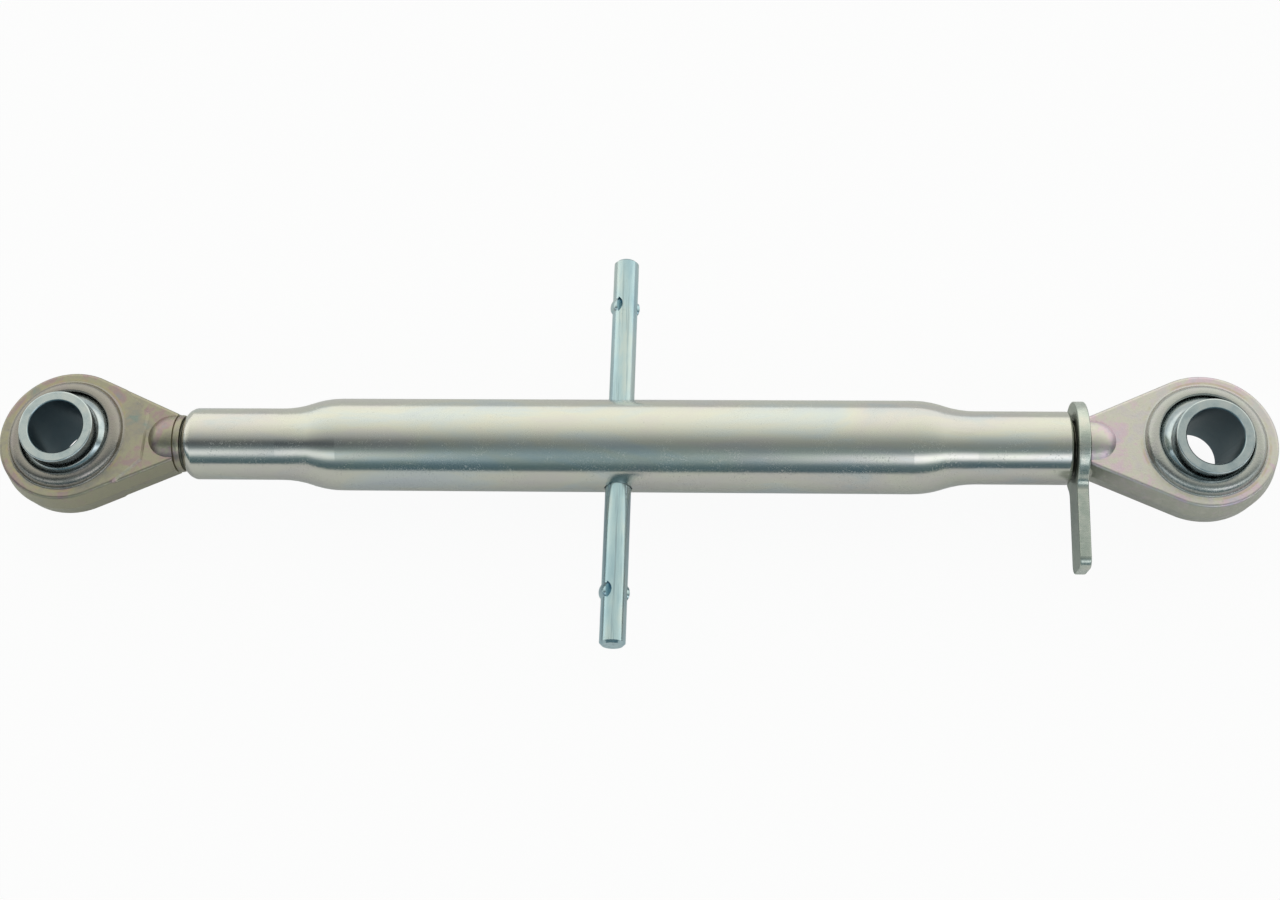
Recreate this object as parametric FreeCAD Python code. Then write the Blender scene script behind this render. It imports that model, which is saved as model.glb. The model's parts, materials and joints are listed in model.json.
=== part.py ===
"""Adjustable top link for a tractor's three-point hitch.

Frame: X runs along the link from the left eye to the right eye, Z runs along the pin bores,
Y completes it, and the origin is midway between the two ball centres.  The link is drawn
almost fully screwed in, lying with its pin bores upright.  All sizes are in millimetres.
"""
import FreeCAD, Part
import math
import os

V = FreeCAD.Vector
X_AXIS = V(1, 0, 0)
Y_AXIS = V(0, 1, 0)
Z_AXIS = V(0, 0, 1)
ORIGIN = V(0, 0, 0)

# ---- driving dimensions -------------------------------------------------------------------
# category 2 ball
pin_bore_diameter = 25.7
ball_width = 51.0               # over both collars
ball_diameter = 48.0
collar_diameter = 34.7
collar_root_fillet = 1.6
collar_edge_round = 0.7
bore_mouth_chamfer = 0.5
left_ball_tilt_x = 5.5          # degrees, the loose balls lean a little at rest
left_ball_tilt_y = 1.0
right_ball_tilt_x = 10.0
right_ball_tilt_y = 1.5

# forged eye
eye_radius = 33.8               # at the parting plane
eye_thickness = 19.4
forging_draft = 8.0             # degrees
forging_edge_round = 1.6
web_half_angle = 24.6           # degrees, each flank against the link's axis
shoulder_distance = 52.0        # ball centre to the end of the forging
shank_boss_diameter = 27.6
shank_boss_flat = 2.0           # straight part behind the round nose

# lip swaged over the ball, on both faces of the eye
lip_crest_radius = 22.6
lip_crest_height = 13.9         # above the parting plane
lip_flank_radius = 4.6
lip_foot_fillet = 1.2
lip_mouth_radius = 21.2
lip_mouth_round = 0.8

# left eye alone: a raised plateau on its web, and a weld bead round its shank
web_step = 1.0                  # how far the web lies below the plateau
plateau_bevel = 1.0             # width of the slope between them
plateau_reach = 37.0            # ball centre to the plateau's straight front edge
plateau_front_width = 23.7
plateau_flank_angle = 46.0      # degrees, the plateau's slanting corners against Y
bead_width = 3.2
bead_diameter = 27.2

# threads: plain cylinders at the crest size stand for them
thread_diameter = 26.2
left_thread_shown = 5.0         # between the left forging and the barrel, bead included
right_thread_shown = 1.5        # between the lever and the right forging
shank_tip_gap = 18.5            # tip of each shank to the middle of the tommy bar
shank_end_chamfer = 2.0

# barrel
barrel_length = 413.0
barrel_diameter = 43.5
barrel_wall = 5.0
neck_diameter = 33.9
left_neck_length = 45.0
right_neck_length = 43.0
swage_length = 29.5
left_mouth_bevel_length = 4.3
left_mouth_bevel_depth = 3.0
left_mouth_bulge_length = 1.6   # a point that the bevel's curve passes through
left_mouth_bulge_depth = 1.2
right_mouth_round = 1.6
thread_mouth_chamfer = 0.5
bar_hole_from_left = 205.2

# tommy bar
bar_diameter = 12.0
bar_length = 195.0
bar_end_chamfer = 1.2
bar_hole_chamfer = 0.4
stake_from_end = 25.0
stake_turn = 30.0               # degrees from straight up round to the left
stake_chord = 8.0               # length of the punched pocket along the bar
stake_reach = 2.3               # width of the pocket round the bar
stake_depth = 1.7
stake_floor_slope = 25.0        # degrees, the pocket deepens towards its wall
stake_lug_height = 1.1
stake_lug_radius = 4.4
stake_lug_turn = 24.0           # degrees from the pocket's wall to the lug's middle

# lock lever
lever_gap = 1.2                 # left open between the barrel and the lever
lever_thickness = 5.3
lever_disc_diameter = 43.2
lever_tail_width = 21.0
lever_reach = 58.0              # link's axis to the tail's tip
lever_corner_radius = 5.0
lever_root_fillet = 6.0
lever_edge_round = 0.8
lever_turn = 8.0                # degrees the tail droops below the XY plane
lever_thread_chamfer = 0.8

# clearances, on the radius
ball_clearance = 0.08
thread_clearance = 0.06
bar_clearance = 0.25

near = 0.001                    # two places this close are taken as the same

# ---- derived dimensions --------------------------------------------------------------------
closed_length = (2 * shoulder_distance + left_thread_shown + barrel_length
                 + lever_gap + lever_thickness + right_thread_shown)
ball_centre = closed_length / 2
ball_radius = ball_diameter / 2
socket_radius = ball_radius + ball_clearance
collar_radius = collar_diameter / 2
bore_radius = pin_bore_diameter / 2
boss_radius = shank_boss_diameter / 2
bead_radius = bead_diameter / 2
thread_radius = thread_diameter / 2
thread_bore_radius = thread_radius + thread_clearance
barrel_radius = barrel_diameter / 2
neck_radius = neck_diameter / 2
bar_radius = bar_diameter / 2
barrel_left_end = -ball_centre + shoulder_distance + left_thread_shown
barrel_right_end = barrel_left_end + barrel_length
bar_place = barrel_left_end + bar_hole_from_left
lever_left = barrel_right_end + lever_gap
eye_half = eye_thickness / 2


# ---- small helpers -------------------------------------------------------------------------
def line(start, end):
    return Part.LineSegment(start, end).toShape()


def arc(start, middle, end):
    return Part.Arc(start, middle, end).toShape()


def polyline(points):
    return [line(a, b) for a, b in zip(points, points[1:])]


def swage(start, end):
    """Two equal tangent arcs that lead from one level to another, both ends level."""
    middle = (start + end) * 0.5
    run = end.x - start.x
    rise = end.y - start.y
    radius = (run * run + rise * rise) / (4 * abs(rise))
    up = math.copysign(radius, rise)
    edges = []
    for level_end, centre in ((start, start + V(0, up, 0)), (end, end - V(0, up, 0))):
        outward = (level_end + middle) * 0.5 - centre
        outward.normalize()
        edges.append(arc(level_end, centre + outward * radius, middle))
    return edges


def spin(edges, axis):
    """Solid of revolution of a closed outline."""
    outline = Part.Wire(Part.__sortEdges__(edges))
    return Part.Face(outline).revolve(ORIGIN, axis, 360)


def upright(shape):
    """Turn a shape made in the XY plane, with radius along X and height along Y, to the XZ plane."""
    turned = shape.copy()
    turned.rotate(ORIGIN, X_AXIS, 90)
    return turned


def moved(shape, offset):
    copy = shape.copy()
    copy.translate(offset)
    return copy


def single(shape):
    """The one solid of a boolean's result, with leftover seams merged."""
    solids = shape.removeSplitter().Solids
    if len(solids) != 1:
        raise ValueError("expected one solid, got %d" % len(solids))
    return solids[0]


# ---- ball ----------------------------------------------------------------------------------
def ball():
    """Ball with a collar on each side and a bore for the hitch pin, at the origin along Z."""
    half = ball_width / 2
    fillet = collar_root_fillet
    fillet_r = collar_radius + fillet
    fillet_z = math.sqrt((ball_radius + fillet) ** 2 - fillet_r ** 2)
    shrink = ball_radius / (ball_radius + fillet)
    diagonal = math.atan2(fillet_z, fillet_r)
    inner_turn = math.degrees((math.pi + diagonal + math.pi) / 2)
    edges = []
    for side in (1, -1):
        root = V(collar_radius, side * fillet_z, 0)
        on_sphere = V(fillet_r * shrink, side * fillet_z * shrink, 0)
        turn = math.radians(inner_turn)
        middle = V(fillet_r + fillet * math.cos(turn), side * (fillet_z + fillet * math.sin(turn)), 0)
        edge = collar_edge_round
        bevel = edge * (1 - math.sqrt(0.5))
        top = V(collar_radius - edge, side * half, 0)
        flank = V(collar_radius, side * (half - edge), 0)
        corner = V(collar_radius - bevel, side * (half - bevel), 0)
        mouth = V(bore_radius + bore_mouth_chamfer, side * half, 0)
        throat = V(bore_radius, side * (half - bore_mouth_chamfer), 0)
        edges += polyline([throat, mouth, top])
        edges += [arc(top, corner, flank), line(flank, root), arc(root, middle, on_sphere)]
    upper = V(fillet_r * shrink, fillet_z * shrink, 0)
    lower = V(upper.x, -upper.y, 0)
    edges.append(arc(upper, V(ball_radius, 0, 0), lower))
    throat = half - bore_mouth_chamfer
    edges.append(line(V(bore_radius, throat, 0), V(bore_radius, -throat, 0)))
    return upright(spin(edges, Y_AXIS))


# ---- forged eyes ---------------------------------------------------------------------------
def eye_outline(height, inset):
    """Round eye with two tangent flanks that end at the shoulder, at a height and inset."""
    slope = math.radians(web_half_angle)
    radius = eye_radius - inset
    touch = V(radius * math.sin(slope), radius * math.cos(slope), height)
    end_y = radius / math.cos(slope) - shoulder_distance * math.tan(slope)
    end = V(shoulder_distance, end_y, height)
    mirror = [V(p.x, -p.y, p.z) for p in (touch, end)]
    return Part.Wire([
        arc(touch, V(-radius, 0, height), mirror[0]),
        line(mirror[0], mirror[1]),
        line(mirror[1], end),
        line(end, touch),
    ])


def drafted_half(half, upward):
    """One half of the forging's plate, drawn in towards its face by the draft."""
    inset = half * math.tan(math.radians(forging_draft))
    wires = [eye_outline(0, 0), eye_outline(upward * half, inset)]
    return Part.makeLoft(wires, True, True)


def face_edges(shape, height):
    """The outline edges at a face, apart from those of the shoulder."""
    found = []
    for edge in shape.Edges:
        box = edge.BoundBox
        flat = abs(box.ZMin - height) < near and abs(box.ZMax - height) < near
        if flat and box.XMin < shoulder_distance - near:
            found.append(edge)
    return found


def drafted_plate(half):
    halves = []
    for upward in (1, -1):
        part = drafted_half(half, upward)
        halves.append(part.makeFillet(forging_edge_round, face_edges(part, upward * half)))
    return halves[0].fuse(halves[1]).removeSplitter()


def lip_profile():
    """Half section of the upper lip, from its foot on the eye's face up and over to its mouth."""
    reach = lip_flank_radius + lip_foot_fillet
    foot_centre_z = eye_half + lip_foot_fillet
    flank_centre = V(lip_crest_radius, lip_crest_height - lip_flank_radius, 0)
    spread = math.sqrt(reach ** 2 - (foot_centre_z - flank_centre.y) ** 2)
    foot_centre = V(lip_crest_radius + spread, foot_centre_z, 0)
    ahead = (foot_centre - flank_centre) * (1 / reach)
    touch = flank_centre + ahead * lip_flank_radius
    foot = V(foot_centre.x, eye_half, 0)
    foot_bisector = (foot - foot_centre) + (touch - foot_centre)
    foot_middle = foot_centre + foot_bisector * (lip_foot_fillet / foot_bisector.Length)
    crest = V(lip_crest_radius, lip_crest_height, 0)
    flank_bisector = (touch - flank_centre) + (crest - flank_centre)
    flank_middle = flank_centre + flank_bisector * (lip_flank_radius / flank_bisector.Length)
    mouth_top = V(lip_mouth_radius + lip_mouth_round, lip_crest_height, 0)
    mouth_side = V(lip_mouth_radius, lip_crest_height - lip_mouth_round, 0)
    rounding = lip_mouth_round * (1 - math.sqrt(0.5))
    mouth_middle = V(lip_mouth_radius + rounding, lip_crest_height - rounding, 0)
    return foot, mouth_side, [
        arc(foot, foot_middle, touch),
        arc(touch, flank_middle, crest),
        line(crest, mouth_top),
        arc(mouth_top, mouth_middle, mouth_side),
    ]


def lip_ring():
    """Both raised lips as one ring through the eye; the socket is cut from it later."""
    foot, mouth, upper = lip_profile()
    lower = [edge.mirror(ORIGIN, Y_AXIS) for edge in upper]
    walls = [line(V(place.x, -place.y, 0), place) for place in (foot, mouth)]
    return upright(spin(upper + lower + walls, Y_AXIS))


def shank_boss():
    """Round boss that runs out into the web with a ball nose."""
    nose_centre = shoulder_distance - shank_boss_flat
    nose = Part.makeSphere(boss_radius, V(nose_centre, 0, 0))
    front = Part.makeBox(boss_radius * 2, boss_radius * 2, boss_radius * 2,
                         V(shoulder_distance, -boss_radius, -boss_radius))
    straight = Part.makeCylinder(boss_radius, shank_boss_flat, V(nose_centre, 0, 0), X_AXIS)
    return nose.cut(front).fuse(straight)


def plateau_outline(height, growth):
    """Outline round the eye whose front tapers to a straight edge across the web."""
    slope = math.radians(plateau_flank_angle)
    reach = plateau_reach + growth
    half_front = plateau_front_width / 2 + growth * math.tan(slope / 2)
    back = 2 * eye_radius
    run = (back - half_front) * math.tan(slope)
    points = [
        V(-back, -back, height),
        V(reach - run, -back, height),
        V(reach, -half_front, height),
        V(reach, half_front, height),
        V(reach - run, back, height),
        V(-back, back, height),
        V(-back, -back, height),
    ]
    return Part.makePolygon(points)


def plateau():
    """Block that keeps the full thickness, with bevelled edges above the web on both faces."""
    web_half = eye_half - web_step
    past_half = eye_half + web_step
    levels = ((-past_half, -plateau_bevel), (-web_half, plateau_bevel),
              (web_half, plateau_bevel), (past_half, -plateau_bevel))
    outlines = [plateau_outline(height, growth) for height, growth in levels]
    return Part.makeLoft(outlines, True, True)


def stepped_plate():
    """Thinner web with the full thickness kept only within the plateau."""
    thin = drafted_plate(eye_half - web_step)
    thick = drafted_plate(eye_half)
    return thin.fuse(thick.common(plateau()))


def weld_bead():
    """Rounded ring where the shank's thread meets the forging."""
    start = shoulder_distance
    edges = [arc(V(start, thread_radius, 0), V(start + bead_width / 2, bead_radius, 0),
                 V(start + bead_width, thread_radius, 0))]
    edges += polyline([
        V(start + bead_width, thread_radius, 0),
        V(start + bead_width, 0, 0),
        V(start, 0, 0),
        V(start, thread_radius, 0),
    ])
    return spin(edges, X_AXIS)


def forged_eye(plate):
    """Eye with its web, lips, shank boss and socket, ball centre at the origin, shank towards +X."""
    body = plate.fuse(lip_ring()).fuse(shank_boss())
    socket = Part.makeSphere(socket_radius, ORIGIN)
    return single(body.cut(socket))


def left_eye():
    return single(forged_eye(stepped_plate()).fuse(weld_bead()))


def left_placed(shape):
    return moved(shape, V(-ball_centre, 0, 0))


def right_placed(shape):
    turned = shape.copy()
    turned.rotate(ORIGIN, Z_AXIS, 180)
    return moved(turned, V(ball_centre, 0, 0))


# ---- threaded shanks -----------------------------------------------------------------------
def threaded_shank(start, tip):
    """Shank along X between two distances from its ball, the ball's centre at the origin."""
    shank = Part.makeCylinder(thread_radius, tip - start, V(start, 0, 0), X_AXIS)
    rim = [edge for edge in shank.Edges if abs(edge.BoundBox.XMin - tip) < near]
    return shank.makeChamfer(shank_end_chamfer, rim)


def left_shank():
    tip = ball_centre + bar_place - shank_tip_gap
    return left_placed(threaded_shank(shoulder_distance + bead_width, tip))


def right_shank():
    tip = ball_centre - bar_place - shank_tip_gap
    return right_placed(threaded_shank(shoulder_distance, tip))


# ---- barrel --------------------------------------------------------------------------------
def barrel_profile():
    """Half section of the barrel above the X axis, swaged down to a threaded neck at each end."""
    left = barrel_left_end
    right = barrel_right_end
    tube_bore = barrel_radius - barrel_wall
    left_swage = left + left_neck_length
    right_swage = right - right_neck_length
    mouth = thread_bore_radius + thread_mouth_chamfer
    bevel_top = neck_radius - left_mouth_bevel_depth
    shoulder = V(left + left_mouth_bevel_length, neck_radius, 0)
    bevel_middle = V(left + left_mouth_bulge_length, neck_radius - left_mouth_bulge_depth, 0)
    rounding = right_mouth_round * (1 - math.sqrt(0.5))
    edges = [line(V(left, mouth, 0), V(left, bevel_top, 0))]
    edges.append(arc(V(left, bevel_top, 0), bevel_middle, shoulder))
    edges.append(line(shoulder, V(left_swage, neck_radius, 0)))
    edges += swage(V(left_swage, neck_radius, 0), V(left_swage + swage_length, barrel_radius, 0))
    edges.append(line(V(left_swage + swage_length, barrel_radius, 0),
                      V(right_swage - swage_length, barrel_radius, 0)))
    edges += swage(V(right_swage - swage_length, barrel_radius, 0), V(right_swage, neck_radius, 0))
    edges.append(line(V(right_swage, neck_radius, 0), V(right - right_mouth_round, neck_radius, 0)))
    edges.append(arc(V(right - right_mouth_round, neck_radius, 0),
                     V(right - rounding, neck_radius - rounding, 0),
                     V(right, neck_radius - right_mouth_round, 0)))
    edges += polyline([
        V(right, neck_radius - right_mouth_round, 0),
        V(right, mouth, 0),
        V(right - thread_mouth_chamfer, thread_bore_radius, 0),
        V(right_swage, thread_bore_radius, 0),
    ])
    edges += swage(V(right_swage - swage_length, tube_bore, 0), V(right_swage, thread_bore_radius, 0))
    edges.append(line(V(right_swage - swage_length, tube_bore, 0),
                      V(left_swage + swage_length, tube_bore, 0)))
    edges += swage(V(left_swage, thread_bore_radius, 0), V(left_swage + swage_length, tube_bore, 0))
    edges += polyline([
        V(left_swage, thread_bore_radius, 0),
        V(left + thread_mouth_chamfer, thread_bore_radius, 0),
        V(left, mouth, 0),
    ])
    return edges


def barrel():
    """Tube with a cross hole for the tommy bar, its two mouths lightly countersunk."""
    tube = spin(barrel_profile(), X_AXIS)
    hole_radius = bar_radius + bar_clearance
    start = V(bar_place, -barrel_diameter, 0)
    tube = tube.cut(Part.makeCylinder(hole_radius, barrel_diameter * 2, start, Y_AXIS))
    for side in (-1, 1):
        mouth = V(bar_place, side * barrel_radius, 0)
        sink = Part.makeCone(hole_radius + bar_hole_chamfer, hole_radius, bar_hole_chamfer,
                             mouth, Y_AXIS * -side)
        tube = tube.cut(sink)
    return single(tube)


# ---- tommy bar -----------------------------------------------------------------------------
def stake_pocket():
    """D-shaped punch mark on top of a bar along Y at the origin, its wall on the YZ plane."""
    half_chord = stake_chord / 2
    punch_radius = (half_chord ** 2 + stake_reach ** 2) / (2 * stake_reach)
    floor = bar_radius - stake_depth
    centre = V(stake_reach - punch_radius, 0, floor)
    punch = Part.makeCylinder(punch_radius, bar_diameter, centre, Z_AXIS)
    beside = Part.makeBox(bar_diameter, bar_diameter, bar_diameter, V(0, -bar_radius, floor))
    beside.rotate(V(0, 0, floor), Y_AXIS, -stake_floor_slope)
    ahead = Part.makeBox(bar_diameter, bar_diameter, bar_diameter * 2, V(0, -bar_radius, 0))
    return punch.common(beside).common(ahead)


def stake_lug():
    """Metal that the punch pushes up on the other side of the pocket's wall."""
    half_length = stake_lug_radius
    crown = bar_radius + stake_lug_height
    rim = bar_radius - stake_lug_height
    edges = [arc(V(rim, -half_length, 0), V(crown, 0, 0), V(rim, half_length, 0))]
    edges += polyline([V(rim, half_length, 0), V(0, half_length, 0), V(0, -half_length, 0),
                       V(rim, -half_length, 0)])
    band = spin(edges, Y_AXIS)
    outward = V(-math.sin(math.radians(stake_lug_turn)), 0, math.cos(math.radians(stake_lug_turn)))
    patch = Part.makeCylinder(stake_lug_radius, bar_diameter, ORIGIN, outward)
    behind = Part.makeBox(bar_diameter, bar_diameter, bar_diameter * 2,
                          V(-bar_diameter, -bar_radius, -bar_diameter))
    return band.common(patch).common(behind)


def tommy_bar():
    rod = Part.makeCylinder(bar_radius, bar_length, V(0, -bar_length / 2, 0), Y_AXIS)
    rims = [edge for edge in rod.Edges if edge.BoundBox.YLength < near]
    rod = rod.makeChamfer(bar_end_chamfer, rims)
    pocket = stake_pocket()
    lug = stake_lug()
    for end in (-1, 1):
        place = V(0, end * (bar_length / 2 - stake_from_end), 0)
        for turn in (stake_turn, stake_turn + 180):
            cutter = moved(pocket, place)
            cutter.rotate(ORIGIN, Y_AXIS, -turn)
            bump = moved(lug, place)
            bump.rotate(ORIGIN, Y_AXIS, -turn)
            rod = rod.fuse(bump).cut(cutter)
    return moved(single(rod), V(bar_place, 0, 0))


# ---- lock lever ----------------------------------------------------------------------------
def lever_outline():
    """Disc with a straight tail towards -Y, drawn in the YZ plane."""
    disc_radius = lever_disc_diameter / 2
    half = lever_tail_width / 2
    disc = Part.Face(Part.Wire(Part.makeCircle(disc_radius, ORIGIN, X_AXIS)))
    tail = Part.Face(Part.makePolygon([
        V(0, 0, -half), V(0, 0, half), V(0, -lever_reach, half), V(0, -lever_reach, -half), V(0, 0, -half),
    ]))
    return disc.fuse(tail).removeSplitter()


def corner_edges(shape, inside):
    """Edges along X: the tail's outer corners, or the inside corners where it meets the disc."""
    found = []
    for edge in shape.Edges:
        box = edge.BoundBox
        along_x = box.YLength < near and box.ZLength < near
        if not along_x or abs(box.ZMin) < near:
            continue
        at_tip = abs(box.YMin + lever_reach) < near
        if at_tip != inside:
            found.append(edge)
    return found


def lock_lever():
    plate = lever_outline().extrude(V(lever_thickness, 0, 0))
    plate = single(plate)
    plate = plate.makeFillet(lever_corner_radius, corner_edges(plate, False))
    plate = plate.makeFillet(lever_root_fillet, corner_edges(plate, True))
    rims = [edge for edge in plate.Edges if edge.BoundBox.XLength < near]
    plate = plate.makeFillet(lever_edge_round, rims)
    plate = plate.cut(Part.makeCylinder(thread_bore_radius, lever_thickness, ORIGIN, X_AXIS))
    mouths = []
    for edge in plate.Edges:
        box = edge.BoundBox
        if box.XLength < near and abs(box.YLength - 2 * thread_bore_radius) < near:
            mouths.append(edge)
    plate = plate.makeChamfer(lever_thread_chamfer, mouths)
    plate.rotate(ORIGIN, X_AXIS, lever_turn)
    return moved(plate, V(lever_left, 0, 0))


# ---- assembly ------------------------------------------------------------------------------
def leaning_ball(tilt_x, tilt_y, place):
    tilted = ball()
    tilted.rotate(ORIGIN, X_AXIS, tilt_x)
    tilted.rotate(ORIGIN, Y_AXIS, tilt_y)
    return moved(tilted, V(place, 0, 0))


def build():
    return {
        "barrel": barrel(),
        "tommy_bar": tommy_bar(),
        "lock_lever": lock_lever(),
        "left_eye": left_placed(left_eye()),
        "left_threaded_shank": left_shank(),
        "left_ball": leaning_ball(left_ball_tilt_x, left_ball_tilt_y, -ball_centre),
        "right_eye": right_placed(forged_eye(drafted_plate(eye_half))),
        "right_threaded_shank": right_shank(),
        "right_ball": leaning_ball(right_ball_tilt_x, right_ball_tilt_y, ball_centre),
    }


def main():
    os.makedirs("parts", exist_ok=True)
    for name, shape in build().items():
        if not shape.isValid():
            raise ValueError(name + " is not a valid solid")
        shape.exportStep(os.path.join("parts", name + ".step"))
        print("%-22s %9.1f mm3" % (name, shape.Volume))


main()
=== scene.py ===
import json
import math

import bmesh
import bpy
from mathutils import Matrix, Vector

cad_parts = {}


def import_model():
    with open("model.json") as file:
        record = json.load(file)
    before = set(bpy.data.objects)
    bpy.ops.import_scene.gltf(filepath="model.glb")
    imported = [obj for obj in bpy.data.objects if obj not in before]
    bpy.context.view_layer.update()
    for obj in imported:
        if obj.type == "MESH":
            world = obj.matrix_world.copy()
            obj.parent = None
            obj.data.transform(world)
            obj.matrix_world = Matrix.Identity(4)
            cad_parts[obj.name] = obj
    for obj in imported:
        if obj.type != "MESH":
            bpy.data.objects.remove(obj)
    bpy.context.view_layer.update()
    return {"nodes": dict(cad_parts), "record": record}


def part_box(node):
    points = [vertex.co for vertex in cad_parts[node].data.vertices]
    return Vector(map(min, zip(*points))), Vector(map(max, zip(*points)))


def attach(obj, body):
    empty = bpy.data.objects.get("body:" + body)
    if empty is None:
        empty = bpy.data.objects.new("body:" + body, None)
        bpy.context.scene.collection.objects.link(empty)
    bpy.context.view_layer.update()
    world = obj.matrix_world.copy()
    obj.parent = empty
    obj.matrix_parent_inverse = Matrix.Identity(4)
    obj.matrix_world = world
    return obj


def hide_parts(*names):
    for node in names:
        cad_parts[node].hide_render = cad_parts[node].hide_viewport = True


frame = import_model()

MM = 0.001
LEFT, RIGHT = -1, 1

# ---- places worked out from the frame ------------------------------------------------------
boxes = {name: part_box(name) for name in frame["nodes"]}


def middle(name):
    low, high = boxes[name]
    return (low + high) / 2


ball_centres = {LEFT: middle("left_ball"), RIGHT: middle("right_ball")}
thread_radius = boxes["left_threaded_shank"][1].z
floor_height = min(low.z for low, high in boxes.values())
bores = {mount["name"]: mount for mount in frame["record"]["mounts"]}
bore_axes = {
    LEFT: Vector(bores["left_pin_bore"]["axis"]),
    RIGHT: Vector(bores["right_pin_bore"]["axis"]),
}
bore_radius = bores["left_pin_bore"]["dims"]["r_mm"] * MM

LIP_FOOT_RADIUS = 28.4 * MM     # where the swaged lips end on an eye's face
FLOOR_GAP = 0.2 * MM            # left open under the object

# ---- tints of the forgings, from one patch to the next -------------------------------------
OLIVE_TINTS = (
    (0.26, 0.30, 0.28), (0.34, 0.31, 0.27), (0.38, 0.36, 0.27), (0.38, 0.28, 0.29),
    (0.30, 0.30, 0.31),
)
PALE_TINTS = (
    (0.56, 0.58, 0.57), (0.61, 0.56, 0.58), (0.62, 0.60, 0.54), (0.66, 0.52, 0.60),
    (0.57, 0.54, 0.62),
)

# ---- thread ---------------------------------------------------------------------------------
THREAD_PITCH = 3 * MM
THREAD_DEPTH = 1.7 * MM
THREAD_STEPS = 40               # round one turn
THREAD_PROFILE = ((0.0, 1.0), (0.1, 1.0), (0.42, 0.06), (0.5, 0.0), (0.6, 0.0), (0.68, 0.06))
THREAD_RUNOUT = 1.6 * MM
THREAD_TIP_CHAMFER = 2 * MM


# ---- shader expressions -----------------------------------------------------------------------
class Socket:
    """An output socket that takes part in Python expressions through Math nodes."""

    def __init__(self, finish, socket):
        self.finish = finish
        self.socket = socket

    def math(self, operation, *others):
        values = dict(enumerate((self,) + others))
        return self.finish.node("ShaderNodeMath", {"operation": operation}, values)

    def __add__(self, other):
        return self.math("ADD", other)

    def __sub__(self, other):
        return self.math("SUBTRACT", other)

    def __rsub__(self, other):
        return self.finish.node("ShaderNodeMath", {"operation": "SUBTRACT"}, {0: other, 1: self})

    def __mul__(self, other):
        return self.math("MULTIPLY", other)

    def __truediv__(self, other):
        return self.math("DIVIDE", other)

    def __pow__(self, other):
        return self.math("POWER", other)

    __radd__ = __add__
    __rmul__ = __mul__


class Finish:
    """A node tree under construction, for a material or the world."""

    def __init__(self, owner, shader="ShaderNodeBsdfPrincipled", end="ShaderNodeOutputMaterial"):
        owner.use_nodes = True
        self.owner = owner
        self.tree = owner.node_tree
        self.tree.nodes.clear()
        self.end = self.tree.nodes.new(end)
        self.shader = self.tree.nodes.new(shader)
        self.tree.links.new(self.shader.outputs[0], self.end.inputs["Surface"])

    def node(self, kind, settings=None, values=None, output=0):
        made = self.tree.nodes.new(kind)
        for name, value in (settings or {}).items():
            if name == "stops":
                self.set_stops(made.color_ramp, value)
            else:
                setattr(made, name, value)
        for name, value in (values or {}).items():
            self.feed(made.inputs[name], value)
        return Socket(self, made.outputs[output])

    def feed(self, target, value):
        if isinstance(value, Socket):
            self.tree.links.new(value.socket, target)
        elif target.type == "RGBA" and not isinstance(value, (int, float)):
            target.default_value = (*value[:3], 1)
        else:
            target.default_value = value

    @staticmethod
    def set_stops(ramp, stops):
        while len(ramp.elements) < len(stops):
            ramp.elements.new(0.5)
        for element, (place, value) in zip(ramp.elements, stops):
            element.position = place
            element.color = (*value, 1) if isinstance(value, tuple) else (value, value, value, 1)

    def set(self, **values):
        for name, value in values.items():
            self.feed(self.shader.inputs[name.replace("_", " ")], value)

    # places and patterns
    def place(self):
        return self.node("ShaderNodeTexCoord", output="Object")

    def facing(self):
        return self.node("ShaderNodeTexCoord", output="Normal")

    def shifted(self, vector, offset):
        return self.node("ShaderNodeVectorMath", {"operation": "SUBTRACT"}, {0: vector, 1: offset})

    def scaled(self, vector, factors):
        return self.node("ShaderNodeVectorMath", {"operation": "MULTIPLY"}, {0: vector, 1: factors})

    def along(self, vector, direction):
        settings = {"operation": "DOT_PRODUCT"}
        return self.node("ShaderNodeVectorMath", settings, {0: vector, 1: direction}, "Value")

    def length(self, vector):
        return self.node("ShaderNodeVectorMath", {"operation": "LENGTH"}, {0: vector}, "Value")

    def noise(self, vector, size, detail=4.0, rough=0.55, distortion=0.0):
        """Noise whose features are about that size in metres."""
        values = {"Vector": vector, "Scale": 1 / size, "Detail": detail, "Roughness": rough,
                  "Distortion": distortion}
        return self.node("ShaderNodeTexNoise", None, values)

    def cells(self, vector, size):
        return self.node("ShaderNodeTexVoronoi", None, {"Vector": vector, "Scale": 1 / size})

    def step(self, value, low, high, start=0.0, end=1.0):
        settings = {"interpolation_type": "SMOOTHSTEP"}
        values = {"Value": value, "From Min": low, "From Max": high, "To Min": start, "To Max": end}
        return self.node("ShaderNodeMapRange", settings, values)

    def ramp(self, value, stops):
        return self.node("ShaderNodeValToRGB", {"stops": stops}, {"Fac": value})

    def blend(self, first, second, share):
        return self.node("ShaderNodeMix", {"data_type": "RGBA"}, {0: share, 6: first, 7: second}, 2)

    def bump(self, height, depth, strength):
        values = {"Height": height, "Distance": depth, "Strength": strength}
        return self.node("ShaderNodeBump", None, values)


def metal(name):
    finish = Finish(bpy.data.materials.new(name))
    finish.set(Metallic=1.0)
    return finish


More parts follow.
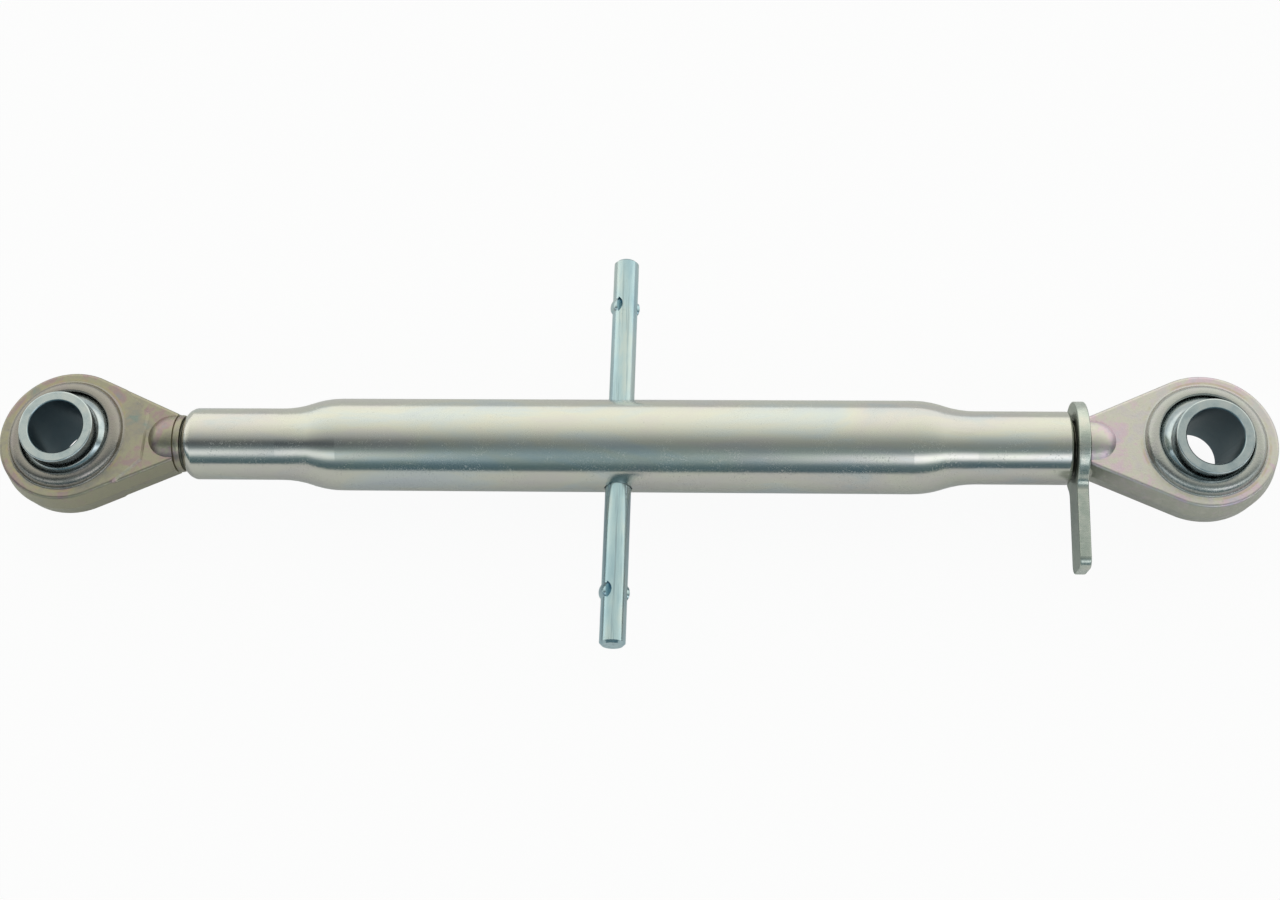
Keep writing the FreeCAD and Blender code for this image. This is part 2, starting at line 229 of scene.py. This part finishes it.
# ---- finishes ---------------------------------------------------------------------------------
def barrel_zinc():
    """Bright zinc on drawn tube: pastel clouds, fine lengthwise grain, frosty specks and scratches."""
    f = metal("barrel_zinc")
    p = f.place()
    clouds = f.noise(f.scaled(p, (0.35, 1, 1)), 24 * MM, 4, 0.6, 0.4)
    grain = f.noise(f.scaled(p, (0.04, 1, 1)), 0.8 * MM, 3)
    frost = f.step(f.noise(p, 0.9 * MM, 4, 0.75), 0.54, 0.66)
    frost = frost * f.step(f.noise(p, 11 * MM, 3), 0.4, 0.6)
    pits = f.step(f.cells(p, 2.8 * MM), 0.05, 0.13, 1.0, 0.0)
    pits = pits * f.step(f.noise(p, 9 * MM, 2), 0.52, 0.64)
    scratch_field = f.noise(f.scaled(p, (0.12, 1, 1)), 1.1 * MM, 1, 0.4, 0.6)
    scratches = f.step((scratch_field - 0.5).math("ABSOLUTE"), 0.0, 0.005, 1.0, 0.0)
    scratches = scratches * f.step(f.noise(p, 14 * MM, 1), 0.54, 0.68)
    tint = f.ramp(clouds, (
        (0.28, (0.54, 0.57, 0.62)), (0.40, (0.59, 0.62, 0.62)), (0.50, (0.64, 0.63, 0.57)),
        (0.60, (0.63, 0.60, 0.58)), (0.72, (0.55, 0.58, 0.60))))
    tint = f.blend(tint, (0.40, 0.41, 0.42), pits * 0.55)
    tint = f.blend(tint, (0.72, 0.73, 0.72), scratches * 0.4)
    roughness = 0.17 + (grain - 0.5) * 0.08 + frost * 0.26 + pits * 0.1
    height = grain * 0.3 + frost * 0.35 - scratches * 0.5 - pits * 0.3
    f.set(Base_Color=tint, Roughness=roughness, Normal=f.bump(height, 0.02 * MM, 0.4))
    return f.owner


def bar_zinc():
    """Bluish zinc on a rolled bar, streaked lengthwise."""
    f = metal("bar_zinc")
    p = f.place()
    clouds = f.noise(f.scaled(p, (1, 0.25, 1)), 9 * MM, 4, 0.6)
    streaks = f.noise(f.scaled(p, (1, 0.03, 1)), 1.6 * MM, 4, 0.65)
    mottle = f.noise(p, 1.2 * MM, 4, 0.7)
    stains = f.step(mottle, 0.6, 0.72) * f.step(f.noise(p, 7 * MM, 2), 0.5, 0.62)
    tint = f.ramp(clouds, ((0.35, (0.38, 0.53, 0.61)), (0.5, (0.46, 0.60, 0.66)), (0.65, (0.55, 0.64, 0.65))))
    tint = f.blend(tint, (0.27, 0.36, 0.41), f.step(streaks, 0.52, 0.68) * 0.6)
    tint = f.blend(tint, (0.26, 0.27, 0.25), stains * 0.6)
    roughness = 0.19 + (streaks - 0.5) * 0.16 + stains * 0.2
    f.set(Base_Color=tint, Roughness=roughness,
          Normal=f.bump(streaks * 0.5 + mottle * 0.3, 0.03 * MM, 0.4))
    return f.owner


def lever_zinc():
    """Zinc on flame-cut plate: drag lines across the bright cut rim, dull pitted faces darkened with painted
    shade.
    """
    f = metal("lever_zinc")
    p = f.place()
    clouds = f.noise(p, 7 * MM, 4, 0.6)
    drag = f.noise(f.scaled(p, (0.12, 1, 1)), 0.9 * MM, 2)
    pits = f.noise(p, 0.9 * MM, 5, 0.75)
    on_face = f.step(f.along(f.facing(), (1, 0, 0)).math("ABSOLUTE"), 0.5, 0.9)
    tint = f.ramp(clouds, ((0.35, (0.48, 0.53, 0.49)), (0.5, (0.58, 0.61, 0.57)), (0.66, (0.66, 0.65, 0.60))))
    # painted shade: both flat faces of the plate darkened in colour, standing in for the shade they sit in
    tint = f.blend(tint, (0.25, 0.29, 0.25), on_face * 0.75)
    roughness = 0.27 + (drag - 0.5) * 0.2 + (pits - 0.5) * 0.25 + on_face * 0.1
    f.set(Base_Color=tint, Roughness=roughness,
          Normal=f.bump(drag * 0.6 + pits * 0.6, 0.07 * MM, 0.7))
    return f.owner


def forging_zinc(name, side, tints, ring_tint, wall_tint):
    """Passivated zinc on a forging: iridescent patches and edge lines, orange-peel skin, grey lips."""
    f = metal(name)
    p = f.place()
    around = f.shifted(p, tuple(ball_centres[side]))
    radius = f.length(f.scaled(around, (1, 1, 0)))
    patches = f.noise(p, 12 * MM, 5, 0.62, 0.3)
    drift = f.noise(p, 4 * MM, 4, 0.65)
    skin = f.noise(p, 1.0 * MM, 5, 0.7)
    grit = f.noise(p, 0.3 * MM, 2)
    places = (0.28, 0.39, 0.49, 0.59, 0.72)
    tint = f.ramp(patches, tuple(zip(places, tints)))
    upright = f.along(f.facing(), (0, 0, 1)).math("ABSOLUTE")
    on_wall = f.step(upright, 0.35, 0.75, 1.0, 0.0)
    on_ring = f.step(radius, LIP_FOOT_RADIUS - 1 * MM, LIP_FOOT_RADIUS, 1.0, 0.0)
    from_foot = (radius - (LIP_FOOT_RADIUS + 0.4 * MM)).math("ABSOLUTE")
    rim = f.step(from_foot, 0.1 * MM, 0.9 * MM, 1.0, 0.0)
    tint = f.blend(tint, wall_tint, on_wall * f.step(drift, 0.3, 0.6, 0.5, 0.9))
    tint = f.blend(tint, (0.46, 0.40, 0.20), rim * f.step(patches, 0.4, 0.6) * 0.5)
    tint = f.blend(tint, ring_tint, on_ring * 0.85)
    tint = f.blend(tint, (0.10, 0.09, 0.07), f.step(skin, 0.60, 0.74) * 0.35)
    roughness = 0.34 + (skin - 0.5) * 0.3 - on_ring * 0.1 + (drift - 0.5) * 0.12
    f.set(Base_Color=tint, Roughness=roughness,
          Normal=f.bump(skin * 0.9 + grit * 0.3 + drift * 0.5, 0.12 * MM, 0.6))
    return f.owner


def ball_zinc(name, side):
    """Bright turned ball: fine rings about its own axis, with painted shade inside its bore."""
    f = metal(name)
    p = f.shifted(f.place(), tuple(ball_centres[side]))
    along = f.along(p, tuple(bore_axes[side]))
    radius = (f.along(p, p) - along * along) ** 0.5
    in_bore = f.step(radius, bore_radius + 0.1 * MM, bore_radius + 0.5 * MM, 1.0, 0.0)
    clouds = f.noise(p, 7 * MM, 4, 0.6)
    mottle = f.noise(p, 0.8 * MM, 4, 0.7)
    turning = f.noise(f.scaled(p, (0.02, 0.02, 1)), 0.25 * MM, 2)
    tint = f.ramp(clouds, ((0.35, (0.46, 0.53, 0.57)), (0.5, (0.56, 0.62, 0.65)), (0.66, (0.64, 0.67, 0.68))))
    # painted shade: the bore's wall darkened to a near-black blue
    tint = f.blend(tint, (0.07, 0.14, 0.18), in_bore * 0.9)
    roughness = 0.17 + (mottle - 0.5) * 0.16 + (turning - 0.5) * 0.06 + in_bore * 0.2
    f.set(Base_Color=tint, Roughness=roughness,
          Normal=f.bump(mottle * 0.5 + turning * 0.4, 0.02 * MM, 0.5))
    return f.owner


def thread_steel():
    """Rolled thread: dark steel whose tint is lowered further as painted shade for the shadowed gap by the
    tube's mouth, and darker still in its roots as painted shade.
    """
    f = metal("thread_steel")
    p = f.place()
    radius = f.length(f.scaled(p, (0, 1, 1)))
    deep = f.step(radius, thread_radius - THREAD_DEPTH, thread_radius - 0.2 * MM, 1.0, 0.0)
    smear = f.noise(p, 4 * MM, 4, 0.6)
    grain = f.noise(p, 0.5 * MM, 3)
    # tint kept low as painted shade for the shadowed gap beside the tube's mouth
    tint = f.ramp(smear, ((0.35, (0.20, 0.20, 0.17)), (0.6, (0.30, 0.29, 0.25))))
    # painted shade: the thread's roots darkened toward black
    tint = f.blend(tint, (0.05, 0.05, 0.04), deep * 0.8)
    roughness = 0.3 + deep * 0.25 + (smear - 0.5) * 0.2
    f.set(Base_Color=tint, Roughness=roughness, Normal=f.bump(grain, 0.03 * MM, 0.5))
    return f.owner


# ---- pieces -----------------------------------------------------------------------------------
def dress(node, material):
    mesh = frame["nodes"][node].data
    mesh.materials.clear()
    mesh.materials.append(material)


def thread_radius_at(share, runout, tip):
    """Radius of the thread's section, faded near the shoulder and cut by the tip's chamfer."""
    depth = THREAD_DEPTH * (1 - share)
    plain = THREAD_DEPTH * 0.5
    fade = max(0.0, 1 - runout / THREAD_RUNOUT)
    radius = thread_radius - depth * (1 - fade) - plain * fade
    return min(radius, thread_radius - THREAD_TIP_CHAMFER + max(0.0, tip))


def thread_mesh(length, hand):
    """Helical thread along +X from the shoulder at zero, as one closed mesh."""
    mesh = bmesh.new()
    turns = math.ceil(length / THREAD_PITCH) + 2
    steps = turns * THREAD_STEPS
    rows = []
    for step in range(steps + 1):
        angle = hand * 2 * math.pi * step / THREAD_STEPS
        start = THREAD_PITCH * (step / THREAD_STEPS - 1)
        row = []
        for offset, share in THREAD_PROFILE:
            x = start + offset * THREAD_PITCH
            radius = thread_radius_at(share, x, length - x)
            row.append(mesh.verts.new((x, radius * math.cos(angle), radius * math.sin(angle))))
        rows.append(row)
    for step in range(steps - THREAD_STEPS):
        here, ahead = rows[step], rows[step + 1]
        next_here, next_ahead = rows[step + THREAD_STEPS], rows[step + 1 + THREAD_STEPS]
        for column in range(len(THREAD_PROFILE) - 1):
            mesh.faces.new((here[column], here[column + 1], ahead[column + 1], ahead[column]))
        mesh.faces.new((here[-1], next_here[0], next_ahead[0], ahead[-1]))
    loose = [v for v in mesh.verts if not v.link_faces]
    bmesh.ops.delete(mesh, geom=loose, context="VERTS")
    for place, outward in ((0.0, -1), (length, 1)):
        everything = mesh.verts[:] + mesh.edges[:] + mesh.faces[:]
        cut = bmesh.ops.bisect_plane(mesh, geom=everything, dist=1e-7, plane_co=(place, 0, 0),
                                     plane_no=(outward, 0, 0), clear_outer=True)
        rim = [e for e in cut["geom_cut"] if isinstance(e, bmesh.types.BMEdge)]
        bmesh.ops.contextual_create(mesh, geom=rim)
    bmesh.ops.recalc_face_normals(mesh, faces=mesh.faces[:])
    for face in mesh.faces:
        face.smooth = len(face.verts) < 5
    return mesh


def threaded_shank(side):
    """Real thread in place of the plain shank: left-hand on the left, right-hand on the right."""
    name = "left" if side == LEFT else "right"
    low, high = boxes[name + "_threaded_shank"]
    mesh = thread_mesh(high.x - low.x, side)
    shoulder = low.x if side == LEFT else high.x
    bmesh.ops.scale(mesh, vec=(-side, -side, 1), verts=mesh.verts)
    bmesh.ops.translate(mesh, vec=(shoulder, 0, 0), verts=mesh.verts)
    data = bpy.data.meshes.new(name + "_thread")
    mesh.to_mesh(data)
    mesh.free()
    piece = bpy.data.objects.new(name + "_thread", data)
    bpy.context.scene.collection.objects.link(piece)
    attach(piece, name + "_rod")
    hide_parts(name + "_threaded_shank")
    return piece


def dress_all():
    dress("barrel", barrel_zinc())
    dress("tommy_bar", bar_zinc())
    dress("lock_lever", lever_zinc())
    dress("left_eye", forging_zinc(
        "left_forging_zinc", LEFT, OLIVE_TINTS, (0.30, 0.28, 0.27), (0.38, 0.36, 0.27)))
    dress("right_eye", forging_zinc(
        "right_forging_zinc", RIGHT, PALE_TINTS, (0.42, 0.43, 0.42), (0.46, 0.46, 0.40)))
    dress("left_ball", ball_zinc("left_ball_zinc", LEFT))
    dress("right_ball", ball_zinc("right_ball_zinc", RIGHT))
    steel = thread_steel()
    for side in (LEFT, RIGHT):
        threaded_shank(side).data.materials.append(steel)


# ---- stage, light and camera ---------------------------------------------------------------------
CAMERA_DISTANCE = 0.8466
CAMERA_ELEVATION = 66.39
CAMERA_AZIMUTH = 9.43           # degrees from straight ahead, towards +X
CAMERA_ROLL = -8.34
CAMERA_LENS = 50.85
CAMERA_AIM = Vector((6.72, -1.99, 0)) * MM
FLOOR_REACH = 6.0
FLOOR_GLOW = 0.94               # share of plain white that the camera sees in the paper
FLOOR_GLOW_IN_METAL = 0.12

# what the studio looks like at an angle from straight up, in degrees, towards the back
STUDIO_LEVELS = (
    (-90, (0.08, 0.14, 0.16)), (-75, (0.12, 0.19, 0.21)), (-62, (0.26, 0.36, 0.38)),
    (-45, (0.28, 0.38, 0.39)), (-25, (0.25, 0.30, 0.30)), (-12, (0.33, 0.36, 0.34)),
    (0, (0.49, 0.53, 0.50)), (12, (0.72, 0.75, 0.68)), (24, (0.93, 0.95, 0.84)),
    (45, (1.15, 1.17, 1.06)), (65, (1.25, 1.27, 1.13)), (90, (1.20, 1.22, 1.15)),
)
WINDOW_TURN = -52               # the two front windows, one on each side
WINDOW_SPREAD = 17
WINDOW_COLOUR = (1.55, 1.62, 1.62)
WINDOW_MIDDLE = -0.08           # sideways part of the direction midway between them
WINDOW_EDGES = (0.06, 0.22)     # how far from there a window starts, and where it is full
GLOOM_TURN = -22                # the dark corner high on the left
GLOOM_SPREAD = 20
GLOOM_COLOUR = (0.03, 0.04, 0.05)


def floor():
    """Plain white paper."""
    data = bpy.data.meshes.new("floor")
    reach = FLOOR_REACH
    corners = [(-reach, -reach, 0), (reach, -reach, 0), (reach, reach, 0), (-reach, reach, 0)]
    data.from_pydata(corners, [], [(0, 1, 2, 3)])
    piece = bpy.data.objects.new("floor", data)
    piece.location.z = floor_height - FLOOR_GAP
    bpy.context.scene.collection.objects.link(piece)
    finish = Finish(bpy.data.materials.new("floor_paper"), "ShaderNodeMixShader")
    paper = finish.node("ShaderNodeBsdfDiffuse", None, {"Color": (0.85, 0.85, 0.85)})
    glow = finish.node("ShaderNodeEmission", None, {"Color": (1, 1, 1), "Strength": 1.0})
    seen = finish.node("ShaderNodeLightPath", output="Is Camera Ray")
    mirrored = finish.node("ShaderNodeLightPath", output="Is Glossy Ray")
    through = finish.node("ShaderNodeLightPath", output="Is Transmission Ray")
    share = seen * FLOOR_GLOW + (mirrored + through) * FLOOR_GLOW_IN_METAL
    finish.feed(finish.shader.inputs[0], share)
    finish.feed(finish.shader.inputs[1], paper)
    finish.feed(finish.shader.inputs[2], glow)
    data.materials.append(finish.owner)


def world():
    """White studio, dark overhead and towards the front, with a pale window at each front side."""
    owner = bpy.data.worlds.new("studio")
    bpy.context.scene.world = owner
    f = Finish(owner, "ShaderNodeBackground", "ShaderNodeOutputWorld")
    direction = f.node("ShaderNodeTexCoord", output="Generated")
    backward = f.along(direction, (0, 1, 0))
    upward = f.along(direction, (0, 0, 1))
    sideways = f.along(direction, (1, 0, 0))
    turn = backward.math("ARCTAN2", upward) * (180 / math.pi)
    stops = tuple(((angle + 90) / 180, colour) for angle, colour in STUDIO_LEVELS)
    level = f.ramp((turn + 90) / 180, stops)
    across = (sideways - WINDOW_MIDDLE).math("ABSOLUTE")
    strip = f.step((turn - WINDOW_TURN).math("ABSOLUTE"), 2, WINDOW_SPREAD, 1.0, 0.0)
    stronger_right = f.step(sideways, -0.12, 0.08, 0.6, 1.0)
    window = strip * f.step(across, *WINDOW_EDGES) * stronger_right
    band = f.step((turn - GLOOM_TURN).math("ABSOLUTE"), 2, GLOOM_SPREAD, 1.0, 0.0)
    gloom = band * f.step(sideways, -0.3, -0.1, 0.7, 0.0)
    level = f.blend(level, GLOOM_COLOUR, gloom)
    level = f.blend(level, WINDOW_COLOUR, window)
    f.set(Color=level, Strength=1.0)


def camera():
    data = bpy.data.cameras.new("camera")
    data.sensor_width = 36
    data.lens = CAMERA_LENS
    data.clip_start = 0.01
    eye = bpy.data.objects.new("camera", data)
    bpy.context.scene.collection.objects.link(eye)
    lift, turn = math.radians(CAMERA_ELEVATION), math.radians(CAMERA_AZIMUTH)
    away = Vector((math.cos(lift) * math.sin(turn), -math.cos(lift) * math.cos(turn), math.sin(lift)))
    eye.location = CAMERA_AIM + away * CAMERA_DISTANCE
    facing = (-away).to_track_quat("-Z", "Y")
    eye.rotation_euler = facing.to_euler()
    eye.rotation_euler.rotate_axis("Z", math.radians(CAMERA_ROLL))
    bpy.context.scene.camera = eye


dress_all()
floor()
world()
camera()
bpy.context.scene.view_settings.view_transform = "Standard"
